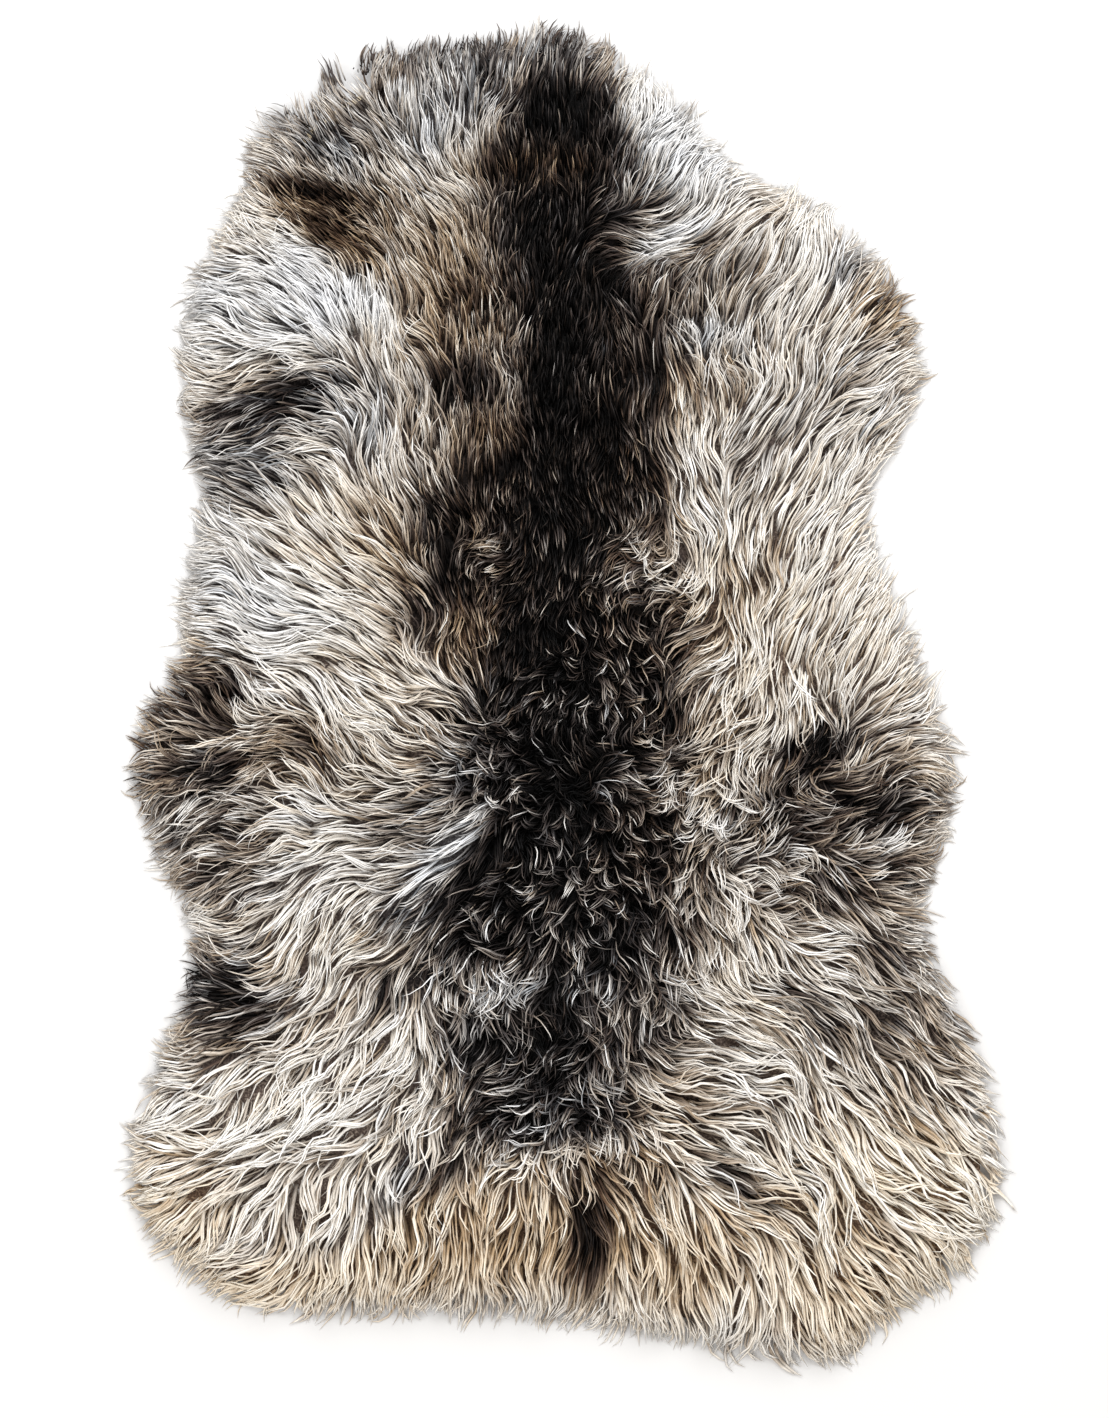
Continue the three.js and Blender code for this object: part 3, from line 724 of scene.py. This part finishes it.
def ring_quads(rings, around):
    """The squares between rings of points: which ring each is on, its place round it, and its corners."""
    ring, spoke = np.meshgrid(np.arange(rings - 1), np.arange(around), indexing="ij")
    ring, spoke = ring.ravel(), spoke.ravel()
    beside = (spoke + 1) % around
    corners = np.stack([ring * around + spoke, (ring + 1) * around + spoke,
                        (ring + 1) * around + beside, ring * around + beside], axis=-1)
    return ring, spoke, corners


def tube_faces(rings):
    """One tube's faces as corner numbers, and their corners' places in its strip: sides, tip, root."""
    ring, side, quads = ring_quads(rings, SIDES)
    s, last = np.arange(SIDES), np.full(SIDES, rings - 1)
    tips = np.stack([last * SIDES + s, (last + 1) * SIDES, last * SIDES + (s + 1) % SIDES], axis=-1)
    quad_strip = np.stack([side, ring, side, ring + 1, side + 1, ring + 1, side + 1, ring], axis=-1)
    tip_strip = np.stack([s, last, s + 0.5, last + 1, s + 1, last], axis=-1)
    strip = np.concatenate([quad_strip.ravel(), tip_strip.ravel()]).reshape(-1, 2)
    strip = STRIP_CORNER + STRIP_SPAN * strip / [SIDES, rings]
    corners = np.concatenate([quads.ravel(), tips.ravel(), s])
    sizes = np.concatenate([np.full(len(quads), 4), np.full(SIDES + 1, 3)])
    return corners, sizes, np.concatenate([strip, ROOT_STRIP])


print(f"a tube has {len(tube_faces(LEAST_RINGS)[1])} to {len(tube_faces(MOST_RINGS)[1])} faces")

# %% Put arrays into a mesh
def put_in_scene(name, data):
    """A new object in the scene that holds the data."""
    thing = bpy.data.objects.new(name, data)
    bpy.context.scene.collection.objects.link(thing)
    return thing


def make_piece(name, points, corners, sizes, values, strip=None):
    """A mesh object from whole arrays: points, all faces' corners in a row, and each face's corner count."""
    mesh = bpy.data.meshes.new(name)
    mesh.vertices.add(len(points))
    mesh.vertices.foreach_set("co", points.astype(np.float32).ravel())
    mesh.loops.add(len(corners))
    mesh.loops.foreach_set("vertex_index", corners.astype(np.int32))
    mesh.polygons.add(len(sizes))
    starts = np.concatenate([[0], np.cumsum(sizes)[:-1]])
    mesh.polygons.foreach_set("loop_start", starts.astype(np.int32))
    mesh.update(calc_edges=True)
    mesh.shade_smooth()
    for key, numbers in values.items():
        mesh.attributes.new(key, "FLOAT", "POINT").data.foreach_set("value", numbers.astype(np.float32))
    if strip is not None:
        mesh.uv_layers.new(name="OFBake").data.foreach_set("uv", strip.astype(np.float32).ravel())
    print(f"{name}: {len(points)} points, {int((sizes - 2).sum())} triangles")
    return put_in_scene(name, mesh)


# %% [markdown]
# ## Finishes
#
# One small function adds a shader node, sets what it is told to and links its inputs. Two more use it for
# what every finish here has: soft noise, and a ramp of colours. Colours are written as they look on a
# screen and turned to linear light once.

# %% Colour and node helpers
def linear(hex_colour):
    """An sRGB hex colour as linear red, green, blue and alpha."""
    parts = np.array([int(hex_colour[i:i + 2], 16) for i in (1, 3, 5)]) / 255
    curve = np.where(parts <= 0.04045, parts / 12.92, ((parts + 0.055) / 1.055) ** 2.4)
    return (*curve, 1.0)


def add(tree, kind, links=None, sockets=None, **settings):
    """Adds one node: settings are its own properties, sockets constant inputs, links other outputs."""
    node = tree.nodes.new(kind)
    for key, value in settings.items():
        setattr(node, key, value)
    for key, value in (sockets or {}).items():
        node.inputs[key].default_value = value
    for key, output in (links or {}).items():
        tree.links.new(output, node.inputs[key])
    return node


def noise(tree, size, detail=2.0):
    """The value of a noise whose lumps are about one size across."""
    place = add(tree, "ShaderNodeTexCoord")
    lumps = add(tree, "ShaderNodeTexNoise", {"Vector": place.outputs["Object"]},
                {"Scale": 1 / size, "Detail": detail})
    return lumps.outputs["Fac"]


def ramp(tree, value, stops):
    """The colour of a value on a ramp, whose stops are a list of (position, hex colour)."""
    node = add(tree, "ShaderNodeValToRGB", {"Fac": value})
    band = node.color_ramp
    for end in (0, -1):
        band.elements[end].position = stops[end][0]
        band.elements[end].color = linear(stops[end][1])
    for position, colour in stops[1:-1]:
        band.elements.new(position).color = linear(colour)
    return node.outputs["Color"]


def new_material(name, sockets):
    """A node material, and its Principled shader with some constant inputs set."""
    material = bpy.data.materials.new(name)
    material.use_nodes = True
    shader = material.node_tree.nodes["Principled BSDF"]
    for key, value in sockets.items():
        shader.inputs[key].default_value = value
    return material, material.node_tree, shader


print(f"middle grey, #808080, is {linear('#808080')[0]:.3f} in linear light")

# %% [markdown]
# ## Raw wool
#
# Natural, undyed wool is keratin, matt as a whole and only a little shiny along each fibre. The shine is
# kept low, because these fibres are stouter than real ones and would glint too much. The colour comes from
# how much pigment a fibre has, with painted shade added in where it lies deep, and how warm it is, and both
# are carried by the mesh as numbers on its points. Along a fibre the pigment wanders a little, as sun and
# grease have left it. Matted underwool is the same, but rougher and blotchier.

# %% Wool material
WARM_STOPS = [(0.0, "#ECE8E0"), (0.2, "#E7DBC8"), (0.4, "#AD9475"), (0.6, "#5A4535"), (0.8, "#211811"),
              (1.0, "#040303")]
COOL_STOPS = [(0.0, "#ECECED"), (0.2, "#E2E3E5"), (0.4, "#979A9D"), (0.6, "#48494C"), (0.8, "#18181A"),
              (1.0, "#030303")]


def wool_material(name, grain, mottle, roughness):
    """Two colour ramps, warm and cool, read by the pigment with its painted shade, plus its mottle, and
    mixed by the warmth.
    """
    material, tree, shader = new_material(name, {"Roughness": roughness, "IOR": 1.55,
                                                 "Specular IOR Level": 0.08})
    pigment_and_shade = add(tree, "ShaderNodeAttribute", attribute_name="pigment_and_shade").outputs["Fac"]
    warmth = add(tree, "ShaderNodeAttribute", attribute_name="warmth").outputs["Fac"]
    centred = add(tree, "ShaderNodeMath", {0: noise(tree, grain)}, {1: 0.5}, operation="SUBTRACT")
    wander = add(tree, "ShaderNodeMath", {0: centred.outputs[0], 2: pigment_and_shade}, {1: mottle},
                 operation="MULTIPLY_ADD").outputs[0]
    blend = add(tree, "ShaderNodeMix", {"Factor": warmth, "A": ramp(tree, wander, COOL_STOPS),
                                        "B": ramp(tree, wander, WARM_STOPS)}, data_type="RGBA")
    tree.links.new(blend.outputs["Result"], shader.inputs["Base Color"])
    return material


WOOL = wool_material("raw wool fibre", grain=9 * MM, mottle=0.22, roughness=0.5)
UNDER = wool_material("matted underwool", grain=1.8 * MM, mottle=0.6, roughness=0.85)
print(f"{WOOL.name} and {UNDER.name}, {len(WOOL.node_tree.nodes)} nodes each")

# %% [markdown]
# ## The patches of wool
#
# A wool sorter divides a fleece by where it grew: neck, back, loin, shoulders, sides and britch, the wool of
# the hind legs and tail. Each of those is one mesh here, left and right apart, which keeps every mesh to a
# size that is easy to handle.

# %% Sort the fibres and make each patch
SHOULDER_LINE = 120 * MM
NECK_LINE = 372 * MM
BRITCH_LINE = -318 * MM
LOIN_LINE = 20 * MM
BACK_HALF = 96 * MM
OWN_SHARE = 0.35  # how much of its pigment a point takes from where it lies
DARK_NECK, DARK_SIDE = 420 * MM, 50 * MM  # wool rooted past one and left of the other ends dark
fibre_root = locks["knot"][lock_of]
fx, fy = fibre_root[:, 0], fibre_root[:, 1]
SORTS = ["neck_wool", "britch_wool", "back_wool", "loin_wool", "left_shoulder_wool", "right_shoulder_wool",
         "left_side_wool", "right_side_wool"]
middle = np.abs(fx) < BACK_HALF
ahead = fy > SHOULDER_LINE
left = fx < 0
tests = [fy > NECK_LINE, fy < BRITCH_LINE, middle & (fy > LOIN_LINE), middle, ahead & left, ahead, left]
sort = np.select(tests, range(len(tests)), len(tests))


def tone_along(which, paths):
    """Pigment with painted shade, and warmth, down each tube: a third of the pigment from where a point
    lies, the rest from mid-fibre. Roots are darkened as painted shade, tips of cool wool bleached, and tips
    at the left of the neck's edge dark."""
    rings = paths.shape[1] - 1
    t = np.linspace(0, 1, rings + 1)
    here = look_up(PIGMENT_AND_SHADE_MAP, paths)
    core = here[:, rings // 2, None]
    warmth = look_up(WARMTH_MAP, paths)
    bleached = 0.1 * (1.35 - warmth[:, rings // 2, None]).clip(0, 1) * t ** 2
    # painted shade: the roots, deep in the pile, are coloured darker, the more so the darker the wool; the
    # bleached tips of cool wool are its own colour
    root_shade_and_bleach = (0.08 + 0.38 * core) * (1 - t) ** 1.5 - bleached
    neck = rising(paths[:, 0, 1], DARK_NECK, NECK_RUN) * (paths[:, 0, 0] < DARK_SIDE)
    dark_tips = 0.3 * (neck * (1 - inner[which]))[:, None] * t ** 2
    blended = OWN_SHARE * here + (1 - OWN_SHARE) * core
    pigment_and_shade = blended + shade[which][:, None] * (0.7 + 0.85 * core) + root_shade_and_bleach + dark_tips
    warmth = warmth + tint[which][:, None]
    per_ring = np.repeat(np.arange(rings), SIDES)
    per_point = np.concatenate([per_ring, [rings]])
    return pigment_and_shade[:, per_point].clip(0, 1), warmth[:, per_point].clip(0, 1)


def wool_patch(name, members):
    """All fibres of one patch, first the short ones with few rings, then the longer and the curly ones."""
    columns = int(np.ceil(np.sqrt(len(members) / 4)))
    rows = int(np.ceil(len(members) / columns))
    batches = []
    first_point, first_strip = 0, 0
    for rings in np.unique(rings_wanted[members]):
        which = members[rings_wanted[members] == rings]
        paths = fibre_paths(which, rings)
        tube = tube_points(paths, fibre_radii(which, rings), roll[which])
        tube_corners, tube_sizes, tube_strip = tube_faces(rings)
        count, size = tube.shape[:2]
        starts = first_point + size * np.arange(count)
        cell = first_strip + np.arange(count)
        origin = np.stack([cell % columns, cell // columns], axis=-1)
        strip = ((origin[:, None, :] + tube_strip) / [columns, rows]).reshape(-1, 2)
        corners = (starts[:, None] + tube_corners).ravel()
        tones = [tone.ravel() for tone in tone_along(which, paths)]
        batches.append((tube.reshape(-1, 3), corners, np.tile(tube_sizes, count), strip, *tones))
        first_point += count * size
        first_strip += count
    points, corners, sizes, strip, pigment_and_shade, warmth = [np.concatenate(parts) for parts in zip(*batches)]
    piece = make_piece(name, points, corners, sizes, {"pigment_and_shade": pigment_and_shade, "warmth": warmth}, strip)
    piece.data.materials.append(WOOL)
    return piece


PATCHES = [wool_patch(name, np.flatnonzero(sort == number)) for number, name in enumerate(SORTS)]

# %% [markdown]
# ## The underwool
#
# Under the long fibres is a dense, matted mass of short ones, which is all that shows deep in a parting. It
# is one closed cushion. Its top is more than a third as high as the pile, uneven like felted wool, and its
# colour is darker than the wool above it, as painted shade deep in the pile. Its rim lies a little inside
# the outline, and further in at the thin corner of the neck. A point on it is set by its bearing round the
# edge and by how far out it is from the middle.

# %% A closed cushion over the outline
ROUND, OUT, FLAT_OUT = 240, 40, 4  # points round a ring, rings over the cushion, rings over a flat side
HIDE_THICK = 2.4 * MM
LUMPS = [(9 * MM, 1.6 * MM), (4.5 * MM, 0.8 * MM)]  # how far apart, how high
UNDERWOOL_INSET = 21 * MM
WISPY_PULL = 0.06  # how far in the rim is drawn where the wool is thinnest
# the added darkness is painted shade, for the underwool lying deep in the pile
PIGMENT_SHARE, SHADE_ADDED = 0.6, 0.5  # what the underwool has of the pigment above it, and what more


def lidded_faces(out, around):
    """Faces of rings that run from one pole to another: triangles at both poles and squares between."""
    quads = 1 + ring_quads(out, around)[2]
    s = np.arange(around)
    first = np.stack([np.zeros(around, int), 1 + s, 1 + (s + 1) % around], axis=-1)
    end = 1 + out * around
    last_ring = 1 + (out - 1) * around
    last = np.stack([np.full(around, end), last_ring + (s + 1) % around, last_ring + s], axis=-1)
    corners = np.concatenate([quads.ravel(), first.ravel(), last.ravel()])
    return corners, np.concatenate([np.full(len(quads), 4), np.full(2 * around, 3)])


def underwool():
    """Top and underside as one run of rings: out from the middle over the top, back in along the hide."""
    rim = inset_edge(UNDERWOOL_INSET, ROUND)
    rim = rim * (1 - WISPY_PULL * thinness(rim))[:, None]
    out = np.sqrt(np.linspace(0, 1, OUT + 1)[1:])
    top = out[:, None, None] * rim
    pile = look_up(HEIGHT_MAP, top)
    lumps = sum(smooth_noise(top, apart) * high for apart, high in LUMPS)
    height = np.maximum(UNDERWOOL_SHARE * pile + lumps, HIDE_THICK + MM)
    back = np.linspace(1, 0, FLAT_OUT + 1)[:-1, None, None] * rim
    rings = np.concatenate([at_height(top, height), at_height(back, HIDE_THICK)])
    middle = [(0, 0, UNDERWOOL_SHARE * look_up(HEIGHT_MAP, np.zeros((1, 2)))[0])]
    points = np.concatenate([middle, rings.reshape(-1, 3), [(0, 0, HIDE_THICK)]])
    corners, sizes = lidded_faces(len(rings), ROUND)
    pigment_and_shade, warmth = tone_at(points[:, :2])
    # painted shade: the underwool is coloured darker than the wool above it, so that it reads as the deep
    # shade of a parting
    shaded_underwool = (pigment_and_shade * PIGMENT_SHARE + SHADE_ADDED).clip(0, 1)
    return make_piece("underwool", points, corners, sizes, {"pigment_and_shade": shaded_underwool, "warmth": warmth})


mat = underwool()
mat.data.materials.append(UNDER)

# %% [markdown]
# ## The hide
#
# The skin itself is a couple of millimetres of tanned leather, suede on the side that lies on the floor.
# From above the wool covers it, but for a speck or two between the wisps at the thin corner of the neck.
# Turned over, it is what one sees, with the wool standing out all round it. It is a flat sheet whose cut
# edge lies a little inside the wool.

# %% Suede material and the sheet
HIDE_INSET = 36 * MM
SUEDE_NAP = 1.2 * MM
SUEDE_CLOUD = 70 * MM


def suede_material():
    """Tanned sheep suede: a pale, dusty tan, clouded where the hide is thicker, with a fine raised nap."""
    material, tree, shader = new_material("tanned suede", {"Roughness": 0.9, "Sheen Weight": 0.3})
    tan = ramp(tree, noise(tree, SUEDE_CLOUD, 4.0), [(0.3, "#CDB998"), (0.55, "#DCCBAE"), (0.75, "#E8DCC6")])
    bump = add(tree, "ShaderNodeBump", {"Height": noise(tree, SUEDE_NAP, 3.0)},
               {"Strength": 0.5, "Distance": 0.4 * MM})
    tree.links.new(tan, shader.inputs["Base Color"])
    tree.links.new(bump.outputs["Normal"], shader.inputs["Normal"])
    return material


def hide_sheet():
    """Rings out over the top and back in along the floor, so that the cut edge is as thick as the rest."""
    rim = inset_edge(HIDE_INSET, ROUND)
    out = np.linspace(0, 1, FLAT_OUT + 1)[1:, None, None] * rim
    rings = np.concatenate([at_height(out, HIDE_THICK), at_height(out[::-1], 0)])
    points = np.concatenate([[(0, 0, HIDE_THICK)], rings.reshape(-1, 3), [(0, 0, 0)]])
    corners, sizes = lidded_faces(len(rings), ROUND)
    return make_piece("hide", points, corners, sizes, {}), ring_area(rim), np.ptp(rim, axis=0)


hide, HIDE_AREA, HIDE_SIZE = hide_sheet()
hide.data.materials.append(suede_material())
print(f"hide of {HIDE_AREA:.3f} square metres, cut from {HIDE_SIZE[0]:.3f} by {HIDE_SIZE[1]:.3f} m")

# %% [markdown]
# ## One rug
#
# Hide, underwool and the patches of wool are one pelt, so all of them move as one body and together stand
# for the plain solid.

# %% Join the pieces to the frame
for piece in [hide, mat, *PATCHES]:
    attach(piece, "root")
    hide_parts("sheepskin")
print(f"{2 + len(PATCHES)} pieces stand for the sheepskin")

# %% [markdown]
# ## Floor, light and camera
#
# The rug lies on a white floor under broad, soft, even light: a large lamp on the neck side, a weaker one
# across from it and light from all round. So the only shadow is a thin soft one along the edge. The camera
# looks straight down from high above.

# %% Floor
def floor_material():
    """Matt white paint with the faintest unevenness of a roller; in this light its grey looks white."""
    material, tree, shader = new_material("matt white paint", {"Roughness": 0.9})
    paint = ramp(tree, noise(tree, 2 / 3), [(0.3, "#C9C8C7"), (0.7, "#CCCBCA")])
    tree.links.new(paint, shader.inputs["Base Color"])
    return material


FLOOR_HALF = 40.0
floor_mesh = bpy.data.meshes.new("floor")
FLOOR_CORNERS = [(-1, -1), (1, -1), (1, 1), (-1, 1)]
floor_mesh.from_pydata([(x * FLOOR_HALF, y * FLOOR_HALF, 0) for x, y in FLOOR_CORNERS], [], [(0, 1, 2, 3)])
floor_mesh.materials.append(floor_material())
floor = put_in_scene("floor", floor_mesh)
print(f"floor of {floor_mesh.materials[0].name}, {2 * FLOOR_HALF:.0f} m across")

# %% Light
LAMP_COLOUR = "#F8FBFF"
ROOM_COLOUR, ROOM_STRENGTH = "#FFFBF6", 0.97


def soft_box(name, place, size, watts):
    """A square area light at a place, turned to face the middle of the rug."""
    lamp = bpy.data.lights.new(name, "AREA")
    lamp.size = size
    lamp.energy = watts
    lamp.color = linear(LAMP_COLOUR)[:3]
    holder = put_in_scene(name, lamp)
    holder.location = place
    holder.rotation_euler = (-Vector(place)).to_track_quat("-Z", "Y").to_euler()
    print(f"{name}: {watts} W, {Vector(place).length:.1f} m from the rug")


soft_box("key", place=(0.4, 1.9, 2.3), size=1.7, watts=98)
soft_box("fill", place=(-1.2, -1.3, 2.5), size=2.0, watts=34)
world = bpy.data.worlds.new("studio")
bpy.context.scene.world = world
world.use_nodes = True
room = world.node_tree.nodes["Background"].inputs
room["Color"].default_value = linear(ROOM_COLOUR)
room["Strength"].default_value = ROOM_STRENGTH
bpy.context.scene.view_settings.view_transform = "Standard"

# %% Camera
FRAME_HEIGHT = 1.163  # what the picture spans on the floor, from top to bottom
FRAME_MIDDLE = (-0.0087, -0.0115)
LENS = 80.0
camera_data = bpy.data.cameras.new("camera")
camera_data.lens = LENS
distance = FRAME_HEIGHT * LENS / camera_data.sensor_width
camera = put_in_scene("camera", camera_data)
camera.location = (*FRAME_MIDDLE, distance)
bpy.context.scene.camera = camera
print(f"camera {distance:.2f} m above the floor")
